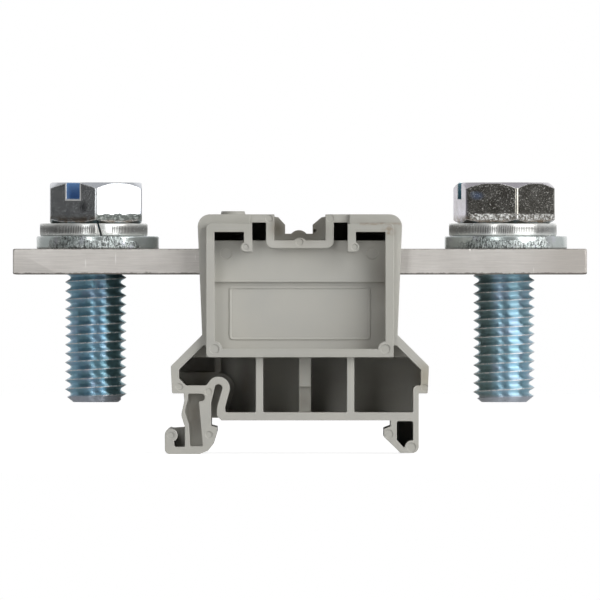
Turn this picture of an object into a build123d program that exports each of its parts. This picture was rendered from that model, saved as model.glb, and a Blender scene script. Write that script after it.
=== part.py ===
from build123d import *
from math import cos, radians, sin, sqrt
import os

os.makedirs("parts", exist_ok=True)

# Stud terminal block for a TS35 rail, in millimetres. X runs along the busbar, Y from
# the front of the block to its back along the rail, and Z up from the feet.

# Rail and clip
rail_width = 35.0
rail_centre = 0.2
lip_gap = 1.15
seat_z = 6.55
rail_left = rail_centre - rail_width / 2
rail_right = rail_centre + rail_width / 2

# Depths, from the face that meets the next block
pitch = 40.0
nest_depth = 2.0
nest_clearance = 0.1
web = 1.6
rear = (pitch + nest_depth) / 2
face = rear - pitch
nest_face = face - nest_depth
middle = (face + rear) / 2
mid_web_front = middle - web / 2
mid_web_back = middle + web / 2
rim_setback = 1.0
rim_face = face + rim_setback

# Busbar
bar_length = 112.0
bar_width = 30.0
bar_thickness = 5.0
bar_z = 35.0
bar_edge = 0.25
bar_fit = 0.1
side_fit = 0.2
bar_top = bar_z + bar_thickness

# Bolts and washers, M12
stud_inset = 16.0
stud_span = bar_length - 2 * stud_inset
thread_radius = 6.0
tapping_clearance = 0.05
bolt_length = 35.0
tip_chamfer = 1.1
neck_radius = 5.43
neck_length = 2.5
head_flats = 18.0
head_height = 8.0
head_end_radius = 8.8
head_bevel = 0.75
head_slot_width = 3.0
head_slot_depth = 3.3
flat_outer = 12.0
flat_inner = 6.5
flat_thickness = 2.5
flat_edge = 0.3
spring_outer = 10.55
spring_inner = 6.55
spring_thickness = 2.5
spring_edge = 0.4
spring_gap = 0.4
spring_lean = 0.7
head_z = bar_top + flat_thickness + spring_thickness

# Nesting frame on the front
frame_half = 18.25
frame_low = 18.85
frame_high = 44.85
frame_corner = 0.85
frame_wall = 1.6
window_half = frame_half - frame_wall
window_low = frame_low + frame_wall
window_high = frame_high - frame_wall
lobe_radius = 1.45
hook_inner = 9.3
hook_width = 1.6
hook_low = 39.4
hook_lobe = 0.92
hook_outer = hook_inner + hook_width

# Shell around the frame, and the skirt below it
wall = 1.6
frame_margin = 0.8
shell_draft = 0.95
shell_top = 46.7
shell_corner = 2.4
waist_half = frame_half + frame_margin
shell_half = waist_half + shell_draft
waist_z = 23.2
skirt_half = 25.15
skirt_taper = 0.25
skirt_low = 11.8
skirt_z = 17.1
skirt_inner = skirt_half - wall
slope_run = skirt_half - waist_half
slope_rise = waist_z - skirt_z
slope_drop = wall * sqrt(slope_run**2 + slope_rise**2) / slope_run

# Tunnel wall and panel inside the frame
tunnel_setback = 3.5
panel_setback = 4.5
tunnel_wall = 1.5
tunnel_low = bar_z - tunnel_wall
tunnel_top = bar_top + bar_fit + tunnel_wall
tunnel_face = face + tunnel_setback
panel_face = face + panel_setback
panel_back = panel_face + web
tunnel_back = middle + bar_width / 2 + side_fit + tunnel_wall

# Marker groove over the tunnel
groove_half = 5.0
groove_wall = 1.6
groove_corner = 1.45
groove_outer = groove_half + groove_wall
snap_radius = 1.5
snap_height = 0.55
cheek_x = -0.2
cheek_half = 2.7
cheek_floor = 43.0
cheek_slope_z = 44.75
cheek_top_half = 4.2
cheek_top_z = shell_top - 0.5
cheek_pit_x = 2.95
cheek_pit_radius = 0.3
cheek_snap_radius = 1.95
cheek_snap_height = 0.7

# Base, its ribs and the cells between them
base_wall = 1.55
rib_pitch = 8.88
rib_centre = 1.0
rib_width = 1.4
middle_rib_width = 2.3
middle_rib_setback = 6.0
middle_rib_drop = 2.0
middle_rib_step = 13.1
cell_low = seat_z + base_wall
cell_high = frame_low
cell_corner = 0.3

# Fixed foot
foot_outer = skirt_half - 2.0
foot_low = 0.22
catch = 1.3
foot_wall = 1.1

# Spring foot, hung from the skirt and a bent leaf
arm_low = 0.0
arm_bar_low = 11.75
arm_bar_high = 13.35
eye_outer = 26.33
eye_high = 5.0
eye_radius = 1.27
leaf_x = -15.8
leaf_z = 12.8
leaf_radius = 2.25
slot_width = 1.12
slot_corner = 0.9
slot_web_setback = 4.0
slot_web = 0.8
backing_low = 7.03
backing_high = 15.9
backing_edge = 0.65
backing_setback = 15.5
arm_pocket = 2.5
eye_pocket = 9.0

# Moulding marks: ejector circles, gate boss and the raised line on the panel
mark_depth = 0.12
gate_x = -13.1
gate_radius = 2.45
gate_height = 0.7
line_z = 27.4
line_length = 27.5
line_span = 10.3
line_width = 0.32
line_height = 0.2
line_corner = 0.4


def at(y):
    """Drawing plane that faces the front of the block, at depth y."""
    return Plane.XZ.offset(-y)


def upright(x, turn):
    """Drawing plane through an axis at x, turned about it from the front."""
    return Plane(
        origin=(x, middle, 0),
        x_dir=(cos(radians(turn)), sin(radians(turn)), 0),
        z_dir=(sin(radians(turn)), -cos(radians(turn)), 0),
    )


def under_slope(x):
    """Height of the inner face of the sloping wall, at x from the middle."""
    return waist_z - (x - waist_half) * slope_rise / slope_run - slope_drop


left_rib = rib_centre - rib_pitch
right_rib = rib_centre + rib_pitch
slope_x = waist_half + (under_slope(waist_half) - cell_high) * slope_run / slope_rise
notch_x = waist_half - 0.2
slot_filling = (
    (rail_left - 0.3, backing_low),
    (rail_left - 0.3, arm_bar_high),
    (leaf_x, arm_bar_high + 0.6),
    (leaf_x + 1.2, leaf_z),
    (rail_left + slot_width + 0.3, backing_low),
)

with BuildPart() as housing:
    # Shell and skirt as one solid outline.
    with BuildSketch(at(rear)):
        with BuildLine():
            FilletPolyline(
                (-shell_half, shell_top),
                (-waist_half, waist_z),
                (-skirt_half, skirt_z),
                (-skirt_half + skirt_taper, skirt_low),
                (skirt_half - skirt_taper, skirt_low),
                (skirt_half, skirt_z),
                (waist_half, waist_z),
                (shell_half, shell_top),
                radius=(shell_corner, 0, 0.5, 0.3, 0.3, 0.5, 0, shell_corner),
                close=True,
            )
        make_face()
    extrude(amount=pitch)

    # Base over the rail, with the fixed foot at its right end.
    with BuildSketch(at(rear)):
        with BuildLine():
            FilletPolyline(
                (rail_left, skirt_low + wall),
                (rail_left, seat_z),
                (rail_right, seat_z),
                (rail_right, seat_z - lip_gap),
                (rail_right - catch, seat_z - lip_gap - 0.5),
                (rail_right - catch, seat_z - lip_gap - 2.1),
                (rail_right + 1.85, foot_low),
                (foot_outer, foot_low),
                (foot_outer, skirt_low + wall),
                radius=(0, 0, 0.15, 0.1, 0.15, 0.15, 0.3, 1.2, 0),
                close=True,
            )
        make_face()
    extrude(amount=pitch)

    # Spring foot with its catch and the release eye.
    with BuildSketch(at(rear)):
        with BuildLine():
            FilletPolyline(
                (-22.8, arm_bar_high),
                (-22.5, 10.4),
                (-23.15, 7.6),
                (-22.4, eye_high + 0.25),
                (-eye_outer, eye_high),
                (-eye_outer, arm_low),
                (-19.5, arm_low),
                (-17.9, arm_low + 0.65),
                (-16.95, arm_low + 1.8),
                (rail_left + slot_width, seat_z - lip_gap - 1.1),
                (rail_left + slot_width, seat_z - lip_gap - 0.2),
                (rail_left, seat_z - lip_gap + 0.1),
                (rail_left, arm_bar_high),
                radius=(0, 1.5, 2.0, 0.2, 1.35, 1.0, 0.3, 0.3, 0.3, 0.3, 0.15, 0.1, 0),
                close=True,
            )
        make_face()
    extrude(amount=pitch)

    # Slot between the arm and the leaf that carries it.
    with BuildSketch(at(rear)):
        with BuildLine():
            FilletPolyline(
                (rail_left, seat_z - lip_gap + 0.1),
                (rail_left, 10.0),
                (leaf_x - 0.65, arm_bar_high + 0.25),
                (leaf_x + 0.93, arm_bar_high + 0.25),
                (rail_left + slot_width, 9.0),
                (rail_left + slot_width, seat_z + slot_corner),
                (rail_left + slot_width + slot_corner, seat_z),
                (rail_left + slot_width + slot_corner, seat_z - lip_gap + 0.1),
                radius=(0, 1.0, 0.74, 0.74, 1.0, 0.7, 0.2, 0),
                close=True,
            )
        make_face()
    extrude(amount=pitch, mode=Mode.SUBTRACT)

    # Base cells, cored from the front and from the back to the middle web.
    for start, depth in ((face, mid_web_front - face), (rear, mid_web_back - rear)):
        with BuildSketch(at(start)):
            with BuildLine():
                FilletPolyline(
                    (left_rib - rib_width / 2, cell_low),
                    (left_rib - rib_width / 2, cell_high),
                    (-slope_x, cell_high),
                    (-skirt_inner, under_slope(skirt_inner)),
                    (-skirt_inner, 14.7),
                    (-22.2, arm_bar_high),
                    (leaf_x - 2.45, arm_bar_high),
                    (leaf_x - 1.1, arm_bar_high + 1.7),
                    (leaf_x + 2.8, arm_bar_high + 1.7),
                    (leaf_x + 1.18, cell_low + 0.8),
                    (leaf_x + 1.35, cell_low),
                    radius=(0.3, 0.3, 0, 0.3, 0.4, 0.6, 0.5, 1.6, 2.2, 0.8, 0.3),
                    close=True,
                )
            make_face()
            with BuildLine():
                FilletPolyline(
                    (right_rib + rib_width / 2, cell_low),
                    (right_rib + rib_width / 2, cell_high),
                    (slope_x, cell_high),
                    (skirt_inner, under_slope(skirt_inner)),
                    (skirt_inner, arm_bar_high),
                    (foot_outer - foot_wall, arm_bar_high),
                    (foot_outer - foot_wall, cell_low),
                    radius=(0.3, 0.3, 0, 0.3, 0.3, 0.9, 0.3),
                    close=True,
                )
            make_face()
            for side in (-1, 1):
                near = rib_centre + side * middle_rib_width / 2
                far = rib_centre + side * (rib_pitch - rib_width / 2)
                with Locations(((near + far) / 2, (cell_low + cell_high) / 2)):
                    RectangleRounded(abs(far - near), cell_high - cell_low, cell_corner)
        extrude(amount=-depth, mode=Mode.SUBTRACT)

        # Hollow of the fixed foot, left full around the ejector pad in its corner.
        with BuildSketch(at(start)):
            with BuildLine():
                FilletPolyline(
                    (rail_right + 1.17, seat_z - 0.15),
                    (foot_outer - foot_wall, seat_z - 0.15),
                    (foot_outer - foot_wall, 1.3),
                    (rail_right + 2.5, 1.3),
                    (rail_right + 1.17, seat_z - lip_gap - 2.68),
                    radius=(0.4, 0.4, 0, 0.2, 0.1),
                    close=True,
                )
            make_face()
            with Locations((foot_outer - 1.35, foot_low + 1.05)):
                Circle(1.38, mode=Mode.SUBTRACT)
        extrude(amount=-depth, mode=Mode.SUBTRACT)

        # Space between the tunnel and the top wall, on both sides of the groove.
        with BuildSketch(at(start)):
            for side in (-1, 1):
                with Locations((side * (window_half + groove_outer) / 2, tunnel_top)):
                    Rectangle(
                        window_half - groove_outer,
                        window_high - tunnel_top,
                        align=(Align.CENTER, Align.MIN),
                    )
                with Locations((side * (hook_inner + groove_outer) / 2, tunnel_top)):
                    Rectangle(
                        hook_inner - groove_outer,
                        shell_top - wall - tunnel_top,
                        align=(Align.CENTER, Align.MIN),
                    )
        extrude(amount=-depth, mode=Mode.SUBTRACT)

    # Thin web across the slot, and the step of the middle web that backs the leaf.
    with BuildSketch(at(face + slot_web_setback)):
        with BuildLine():
            Polyline(*slot_filling, close=True)
        make_face()
    extrude(amount=-slot_web)
    with BuildSketch(at(mid_web_front)):
        with Locations((-skirt_inner - 0.3, arm_bar_high - 0.5)):
            Rectangle(
                leaf_x + skirt_inner + 0.3,
                backing_high - arm_bar_high + 0.5,
                align=(Align.MIN, Align.MIN),
            )
        with Locations((leaf_x - 0.25, backing_high)):
            Rectangle(
                1.25,
                cell_high + 0.3 - backing_high,
                align=(Align.CENTER, Align.MIN),
            )
        with Locations((leaf_x, leaf_z)):
            Circle(leaf_radius + backing_edge)
        with BuildLine():
            Polyline(
                (rail_left - 0.3, backing_low),
                (rail_left - 0.3, arm_bar_high),
                (leaf_x + leaf_radius + backing_edge, leaf_z),
                (leaf_x + 1.6, cell_low - 0.4),
                (rail_left + slot_width + 0.3, cell_low - 0.4),
                (rail_left + slot_width + 0.3, backing_low),
                close=True,
            )
        make_face()
    extrude(amount=mid_web_front - face - backing_setback)
    with BuildSketch(at(mid_web_back)):
        with BuildLine():
            Polyline(*slot_filling, close=True)
        make_face()
    extrude(amount=web)

    # Opening in the arm and pocket of the eye, each with a web of its own.
    for start, arm_cut, eye_cut in (
        (face, arm_pocket, eye_pocket),
        (rear, arm_pocket + web - pitch, eye_pocket + web - pitch),
    ):
        with BuildSketch(at(start)):
            with BuildLine():
                FilletPolyline(
                    (-21.8, arm_bar_low),
                    (-18.55, arm_bar_low),
                    (-18.55, 10.4),
                    (-19.7, 10.2),
                    (-18.9, 1.5),
                    (-21.4, 1.5),
                    (-21.6, 5.7),
                    (-22.5, 8.4),
                    (-21.8, 10.6),
                    radius=(0.3, 0.6, 0.6, 0.2, 0.3, 0.3, 1.0, 1.8, 0.8),
                    close=True,
                )
            make_face()
        extrude(amount=-arm_cut, mode=Mode.SUBTRACT)
        with BuildSketch(at(start)):
            with BuildLine():
                FilletPolyline(
                    (-22.42, eye_high + 0.6),
                    (-25.3, eye_high + 0.6),
                    (-24.95, 3.6),
                    (-24.5, 2.3),
                    (-24.4, 1.4),
                    (-22.4, 1.4),
                    radius=(0, 0, 0, 0.4, 0.35, 0.35),
                    close=True,
                )
            make_face()
            with Locations((-eye_outer + eye_radius, eye_high - 1.35)):
                Circle(eye_radius, mode=Mode.SUBTRACT)
        extrude(amount=-eye_cut, mode=Mode.SUBTRACT)

    # Corners between skirt and frame, thinned to the panel from both sides.
    for start, depth in ((face, panel_setback), (rear, panel_back - rear)):
        with BuildSketch(at(start)):
            for side in (-1, 1):
                with BuildLine():
                    FilletPolyline(
                        (side * frame_half, cell_high),
                        (side * frame_half, under_slope(notch_x)),
                        (side * notch_x, under_slope(notch_x)),
                        (side * slope_x, cell_high),
                        radius=(0, 0.2, 0.3, 0),
                        close=True,
                    )
                make_face()
        extrude(amount=-depth, mode=Mode.SUBTRACT)

    # Window of the frame, set back to the tunnel wall and to the panel below it.
    with BuildSketch(at(face)):
        with Locations((0, window_low)):
            Rectangle(
                2 * window_half,
                tunnel_top - window_low,
                align=(Align.CENTER, Align.MIN),
            )
    extrude(amount=-tunnel_setback, mode=Mode.SUBTRACT)
    with BuildSketch(at(tunnel_face)):
        with Locations((0, window_low)):
            Rectangle(
                2 * window_half,
                tunnel_low - window_low,
                align=(Align.CENTER, Align.MIN),
            )
    extrude(amount=tunnel_face - panel_face, mode=Mode.SUBTRACT)

    # Top rim and groove walls, set back between the frame's two hooks.
    with BuildSketch(at(face)):
        with Locations((0, shell_top)):
            Rectangle(
                2 * (hook_inner + 0.4),
                shell_top - tunnel_top,
                align=(Align.CENTER, Align.MAX),
            )
    extrude(amount=-rim_setback, mode=Mode.SUBTRACT)
    with BuildSketch(at(tunnel_face)):
        with BuildLine():
            FilletPolyline(
                (-groove_outer, tunnel_top),
                (-groove_outer, tunnel_top - groove_wall + 0.1),
                (groove_outer, tunnel_top - groove_wall + 0.1),
                (groove_outer, tunnel_top),
                radius=(0, groove_corner, groove_corner, 0),
                close=True,
            )
        make_face()
    extrude(amount=tunnel_setback - rim_setback)

    # Frame that stands proud and drops into the back of the next block.
    with BuildSketch(at(panel_face)):
        with Locations((0, (frame_low + frame_high) / 2)):
            RectangleRounded(2 * frame_half, frame_high - frame_low, frame_corner)
        with Locations((0, (window_low + window_high) / 2)):
            Rectangle(2 * window_half, window_high - window_low, mode=Mode.SUBTRACT)
        with Locations((0, frame_high)):
            Rectangle(
                2 * hook_inner, 2 * frame_wall + 0.4, mode=Mode.SUBTRACT
            )
        for side in (-1, 1):
            with Locations((side * window_half, window_low)):
                Circle(lobe_radius)
    extrude(amount=panel_face - nest_face)
    with BuildSketch(at(mid_web_front)):
        for side in (-1, 1):
            with Locations((side * (hook_inner + hook_outer) / 2, hook_low)):
                Rectangle(
                    hook_width, frame_high - hook_low, align=(Align.CENTER, Align.MIN)
                )
            with Locations((side * (hook_outer - 0.3), hook_low + hook_lobe)):
                Circle(hook_lobe)
    extrude(amount=mid_web_front - nest_face)

    # Back: room for the next block's frame, and the chamber under the tunnel.
    with BuildSketch(at(rear)):
        with Locations((0, (frame_low + frame_high) / 2)):
            RectangleRounded(
                2 * (frame_half + nest_clearance),
                frame_high - frame_low + 2 * nest_clearance,
                frame_corner + nest_clearance,
            )
    extrude(amount=nest_depth + nest_clearance, mode=Mode.SUBTRACT)
    with BuildSketch(at(rear)):
        with Locations((0, (window_low + tunnel_low) / 2)):
            RectangleRounded(
                2 * (waist_half - wall), tunnel_low - window_low, cell_corner
            )
    extrude(amount=rear - panel_back, mode=Mode.SUBTRACT)
    with BuildSketch(at(rear)):
        with Locations((0, (tunnel_low + tunnel_top) / 2)):
            Rectangle(2 * (waist_half - wall), tunnel_top - tunnel_low)
    extrude(amount=rear - tunnel_back, mode=Mode.SUBTRACT)

    # Marker groove right through, with a snap bead and narrower cheeks at the back.
    with BuildSketch(at(rear)):
        with BuildLine():
            Polyline(
                (cheek_x - cheek_half, cheek_floor),
                (cheek_x - cheek_half, cheek_slope_z),
                (-cheek_top_half, cheek_top_z),
                (-groove_half, cheek_top_z + 0.15),
                (-groove_half, shell_top),
                (groove_half, shell_top),
                (groove_half, cheek_top_z + 0.15),
                (cheek_top_half, cheek_top_z),
                (cheek_x + cheek_half, cheek_slope_z),
                (cheek_x + cheek_half, cheek_floor),
                close=True,
            )
        make_face()
        with Locations(
            (cheek_x, cheek_floor + cheek_snap_height - cheek_snap_radius)
        ):
            Circle(cheek_snap_radius, mode=Mode.SUBTRACT)
    extrude(amount=pitch, mode=Mode.SUBTRACT)
    with BuildSketch(at(face)):
        with Locations((0, tunnel_top)):
            Rectangle(
                2 * groove_half,
                shell_top - tunnel_top,
                align=(Align.CENTER, Align.MIN),
            )
        with Locations((0, tunnel_top + snap_height - snap_radius)):
            Circle(snap_radius, mode=Mode.SUBTRACT)
    extrude(amount=face - middle, mode=Mode.SUBTRACT)
    with BuildSketch(at(tunnel_face)):
        with Locations((0, tunnel_top + snap_height - snap_radius)):
            Circle(snap_radius)
        with Locations((0, tunnel_top)):
            Rectangle(
                2 * snap_radius,
                2 * snap_radius,
                align=(Align.CENTER, Align.MAX),
                mode=Mode.SUBTRACT,
            )
    extrude(amount=tunnel_face - rim_face)

    # Middle rib of the base, cut back from the front in two steps.
    with BuildSketch(at(face)):
        with Locations((rib_centre, cell_low)):
            Rectangle(
                middle_rib_width, cell_high - cell_low, align=(Align.CENTER, Align.MIN)
            )
    extrude(amount=-middle_rib_setback, mode=Mode.SUBTRACT)
    with BuildSketch(at(face + middle_rib_setback)):
        with Locations((rib_centre, cell_low)):
            Rectangle(
                middle_rib_width,
                middle_rib_step - cell_low,
                align=(Align.CENTER, Align.MIN),
            )
    extrude(amount=-middle_rib_drop, mode=Mode.SUBTRACT)

    # Tunnel for the busbar, open through both side walls.
    with BuildSketch(Plane.YZ.offset(-shell_half)):
        with Locations((middle, bar_z)):
            Rectangle(
                bar_width + 2 * side_fit,
                bar_thickness + bar_fit,
                align=(Align.CENTER, Align.MIN),
            )
    extrude(amount=2 * shell_half, mode=Mode.SUBTRACT)

    # Gate boss on the top wall.
    with BuildSketch(Plane.XY.offset(shell_top)):
        with Locations((gate_x, middle)):
            Circle(gate_radius)
    extrude(amount=gate_height, taper=15)

    # Raised line on the panel.
    with BuildSketch(at(panel_face)):
        with Locations((0, line_z)):
            RectangleRounded(line_length, line_span, line_corner + line_width)
            RectangleRounded(
                line_length - 2 * line_width,
                line_span - 2 * line_width,
                line_corner,
                mode=Mode.SUBTRACT,
            )
    extrude(amount=line_height)

    # Ejector marks, level by level.
    for level, radius, places in (
        (nest_face, 0.9, ((-window_half, window_low), (window_half, window_low))),
        (nest_face, 0.6, ((-hook_outer + 0.3, 40.3), (hook_outer - 0.3, 40.3))),
        (tunnel_face, 1.15, ((-14.4, 39.1), (14.1, 39.1))),
        (rim_face, 0.7, ((-6.0, 45.85), (5.9, 45.95), (-0.1, 41.3))),
        (face, 0.67, ((-17.8, 12.1), (-23.5, 13.1), (-25.1, 3.6), (-17.7, 3.75), (24.3, 12.9))),
        (face, 0.85, ((17.3, 3.9), (21.75, 1.3))),
    ):
        with BuildSketch(at(level)):
            with Locations(*places):
                Circle(radius)
        extrude(amount=-mark_depth, mode=Mode.SUBTRACT)

    # Small pit beside the groove, low in the right cheek.
    with BuildSketch(at(middle)):
        with Locations((cheek_pit_x, cheek_floor + 0.55)):
            Circle(cheek_pit_radius)
    extrude(amount=-3 * cheek_pit_radius, mode=Mode.SUBTRACT)
housing.part.label = "housing"
export_step(housing.part, "parts/housing.step")

with BuildPart() as busbar:
    with BuildSketch(Plane.XY.offset(bar_z)):
        with Locations((0, middle)):
            Rectangle(bar_length, bar_width)
            with GridLocations(stud_span, 1, 2, 1):
                Circle(thread_radius + tapping_clearance, mode=Mode.SUBTRACT)
    extrude(amount=bar_thickness)
    outline = busbar.edges().filter_by(GeomType.LINE)
    chamfer(outline.group_by(Axis.Z)[0] + outline.group_by(Axis.Z)[-1], bar_edge)
busbar.part.label = "busbar"
export_step(busbar.part, "parts/busbar.step")

# Left and right stud: X of its axis, the turn of its head's corner and of its driver
# slot, how far its two washers sit off the axis, and the turn of the split.
studs = (
    ("left", -stud_span / 2, 1.0, -29.0, 0.4, -0.4, 4.0),
    ("right", stud_span / 2, 13.6, -76.4, 0.37, -0.23, 150.0),
)
for side, x, corner, slot, flat_shift, spring_shift, split in studs:
    with BuildPart() as bolt:
        with BuildSketch(Plane.XY.offset(head_z)):
            with Locations((x, middle)):
                RegularPolygon(
                    head_flats / 2, 6, major_radius=False, rotation=corner - 90
                )
        extrude(amount=head_height)
        # Both ends of the head are turned to a shallow cone.
        with BuildSketch(upright(x, 0)):
            with BuildLine():
                Polyline(
                    (0, head_z),
                    (head_end_radius, head_z),
                    (head_flats / sqrt(3), head_z + head_bevel),
                    (head_flats / sqrt(3), head_z + head_height - head_bevel),
                    (head_end_radius, head_z + head_height),
                    (0, head_z + head_height),
                    close=True,
                )
            make_face()
        revolve(axis=Axis((x, middle, 0), (0, 0, 1)), mode=Mode.INTERSECT)
        with BuildSketch(Plane.XY.offset(head_z + head_height)):
            with Locations((x, middle)):
                Rectangle(2 * head_flats, head_slot_width, rotation=slot - 90)
        extrude(amount=-head_slot_depth, mode=Mode.SUBTRACT)
        # Thread over its crests, with the run-out neck that the washers hide.
        with BuildSketch(upright(x, 0)):
            with BuildLine():
                Polyline(
                    (0, head_z),
                    (neck_radius, head_z),
                    (neck_radius, head_z - neck_length + thread_radius - neck_radius),
                    (thread_radius, head_z - neck_length),
                    (thread_radius, head_z - bolt_length + tip_chamfer),
                    (thread_radius - tip_chamfer, head_z - bolt_length),
                    (0, head_z - bolt_length),
                    close=True,
                )
            make_face()
        revolve(axis=Axis((x, middle, 0), (0, 0, 1)))
    bolt.part.label = f"bolt_{side}"
    export_step(bolt.part, f"parts/bolt_{side}.step")

    with BuildPart() as flat_washer:
        with BuildSketch(Plane.XY.offset(bar_top)):
            with Locations((x + flat_shift, middle)):
                Circle(flat_outer)
                Circle(flat_inner, mode=Mode.SUBTRACT)
        extrude(amount=flat_thickness)
        rims = flat_washer.edges().filter_by(GeomType.CIRCLE).group_by(SortBy.LENGTH)
        chamfer(rims[-1], flat_edge)
    flat_washer.part.label = f"flat_washer_{side}"
    export_step(flat_washer.part, f"parts/flat_washer_{side}.step")

    with BuildPart() as spring_washer:
        with BuildSketch(Plane.XY.offset(bar_top + flat_thickness)):
            with Locations((x + spring_shift, middle)):
                Circle(spring_outer)
                Circle(spring_inner, mode=Mode.SUBTRACT)
        extrude(amount=spring_thickness)
        rims = spring_washer.edges().filter_by(GeomType.CIRCLE).group_by(SortBy.LENGTH)
        chamfer(rims[-1], spring_edge)
        # The split leans, so that it bites when the washer is flattened.
        with BuildSketch(upright(x + spring_shift, split)):
            with BuildLine():
                Polyline(
                    (spring_lean, bar_top + flat_thickness),
                    (spring_lean + spring_gap, bar_top + flat_thickness),
                    (spring_gap, head_z),
                    (0, head_z),
                    close=True,
                )
            make_face()
        extrude(amount=2 * spring_outer, mode=Mode.SUBTRACT)
    spring_washer.part.label = f"spring_washer_{side}"
    export_step(spring_washer.part, f"parts/spring_washer_{side}.step")
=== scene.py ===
import bpy
import bmesh
from math import atan2, cos, degrees, hypot, pi, radians, sin, sqrt
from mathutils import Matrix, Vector


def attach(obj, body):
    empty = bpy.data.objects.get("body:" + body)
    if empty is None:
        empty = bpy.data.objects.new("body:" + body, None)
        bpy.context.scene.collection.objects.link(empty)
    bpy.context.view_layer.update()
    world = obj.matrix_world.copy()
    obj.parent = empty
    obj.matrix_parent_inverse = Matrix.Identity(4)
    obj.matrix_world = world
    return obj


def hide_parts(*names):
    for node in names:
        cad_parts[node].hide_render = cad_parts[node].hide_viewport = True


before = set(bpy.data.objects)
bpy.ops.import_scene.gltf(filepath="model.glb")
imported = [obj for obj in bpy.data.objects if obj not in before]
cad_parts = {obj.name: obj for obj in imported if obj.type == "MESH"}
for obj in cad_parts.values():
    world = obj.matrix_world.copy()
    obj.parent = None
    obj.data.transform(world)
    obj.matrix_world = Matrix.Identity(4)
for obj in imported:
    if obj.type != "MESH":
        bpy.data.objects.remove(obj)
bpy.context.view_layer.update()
mm = 0.001
# Y of both studs and of the busbar's middle, in mm, as all the pieces' sizes are
studY = 1.0
# points of a mesh that lie closer together than this are merged
mergeWithin = 0.002
print("frame loaded:", ", ".join(sorted(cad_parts)))


# Modelling helpers

def clearSelection():
    if bpy.context.object and bpy.context.object.mode != "OBJECT":
        bpy.ops.object.mode_set(mode="OBJECT")
    bpy.ops.object.select_all(action="DESELECT")


def pick(obj):
    clearSelection()
    obj.select_set(True)
    bpy.context.view_layer.objects.active = obj


def named(name):
    obj = bpy.context.object
    obj.name = name
    obj.data.name = name
    return obj


def settle(obj):
    # the place goes into the mesh, so the object is left at the origin
    pick(obj)
    bpy.ops.object.transform_apply(location=True, rotation=True, scale=True)
    return obj


def selectIn(obj, kind, test):
    # in edit mode: selects the faces, edges or vertices that pass the test
    mesh = bmesh.from_edit_mesh(obj.data)
    bpy.ops.mesh.select_all(action="DESELECT")
    for item in getattr(mesh, kind):
        if test(item):
            item.select = True
    mesh.select_flush_mode()
    bmesh.update_edit_mesh(obj.data)


def addRod(name, x, radius, low, high, vertices, turn=0):
    # upright cylinder or prism round a stud's axis
    clearSelection()
    bpy.ops.mesh.primitive_cylinder_add(
        vertices=vertices, radius=radius * mm, depth=(high - low) * mm,
        location=(x * mm, studY * mm, (low + high) / 2 * mm), rotation=(0, 0, radians(turn)),
    )
    return settle(named(name))


def resizeAround(x, ratio):
    # in edit mode: only across the stud's axis
    bpy.ops.transform.resize(
        value=(ratio, ratio, 1), center_override=(x * mm, studY * mm, 0),
    )


def coneEnd(obj, x, way, tall, ratio):
    # in edit mode: draws out the flat end that faces up (1) or down (-1)
    selectIn(obj, "faces", lambda f: f.normal.z * way > 0.9)
    bpy.ops.mesh.extrude_region_move(
        TRANSFORM_OT_translate={"value": (0, 0, way * tall * mm)},
    )
    resizeAround(x, ratio)


def finishMesh(obj, angle):
    pick(obj)
    bpy.ops.object.mode_set(mode="EDIT")
    bpy.ops.mesh.select_all(action="SELECT")
    bpy.ops.mesh.remove_doubles(threshold=mergeWithin * mm)
    bpy.ops.mesh.normals_make_consistent(inside=False)
    bpy.ops.object.mode_set(mode="OBJECT")
    bpy.ops.object.shade_smooth_by_angle(angle=radians(angle))


def applyAll(obj):
    pick(obj)
    for modifier in list(obj.modifiers):
        bpy.ops.object.modifier_apply(modifier=modifier.name)


def combine(obj, tool, operation):
    pick(obj)
    modifier = obj.modifiers.new(operation.lower(), "BOOLEAN")
    modifier.operation = operation
    modifier.solver = "EXACT"
    modifier.object = tool
    bpy.ops.object.modifier_apply(modifier=modifier.name)
    bpy.data.objects.remove(tool, do_unlink=True)


def roundEdges(obj, width, segments, angle):
    modifier = obj.modifiers.new("rounded edges", "BEVEL")
    modifier.width = width * mm
    modifier.segments = segments
    modifier.limit_method = "ANGLE"
    modifier.angle_limit = radians(angle)
    applyAll(obj)


def evenShading(obj, angle):
    # big flat faces keep their own normal, and only the small rounded ones blend
    pick(obj)
    bpy.ops.object.shade_smooth_by_angle(angle=radians(angle))
    modifier = obj.modifiers.new("even shading", "WEIGHTED_NORMAL")
    modifier.mode = "FACE_AREA"
    modifier.keep_sharp = True
    applyAll(obj)


# Material helpers. In the dictionaries below, colours are red, green and blue, and places are
# in mm. A noise has its scale, detail and roughness. Numbers after these are a fade: the two
# values that it runs between and, where they aren't 0 and 1, what it gives there.

def addNode(tree, kind, inputs=None, **settings):
    node = tree.nodes.new(kind)
    for key, value in settings.items():
        setattr(node, key, value)
    for key, value in (inputs or {}).items():
        if isinstance(value, bpy.types.NodeSocket):
            tree.links.new(value, node.inputs[key])
        else:
            node.inputs[key].default_value = value
    return node


def startMaterial(name):
    material = bpy.data.materials.new(name)
    material.use_nodes = True
    tree = material.node_tree
    tree.nodes.clear()
    output = addNode(tree, "ShaderNodeOutputMaterial")
    shader = addNode(tree, "ShaderNodeBsdfPrincipled")
    tree.links.new(shader.outputs[0], output.inputs["Surface"])
    return material, tree, shader


def inMillimetres(tree, scale=(1, 1, 1), turn=(0, 0, 0)):
    place = addNode(tree, "ShaderNodeTexCoord").outputs["Object"]
    return addNode(
        tree, "ShaderNodeMapping",
        {"Vector": place, "Scale": [s / mm for s in scale], "Rotation": turn},
    ).outputs[0]


def noise(tree, where, scale, detail, roughness):
    return addNode(
        tree, "ShaderNodeTexNoise",
        {"Vector": where, "Scale": scale, "Detail": detail, "Roughness": roughness},
    ).outputs["Fac"]


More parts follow.
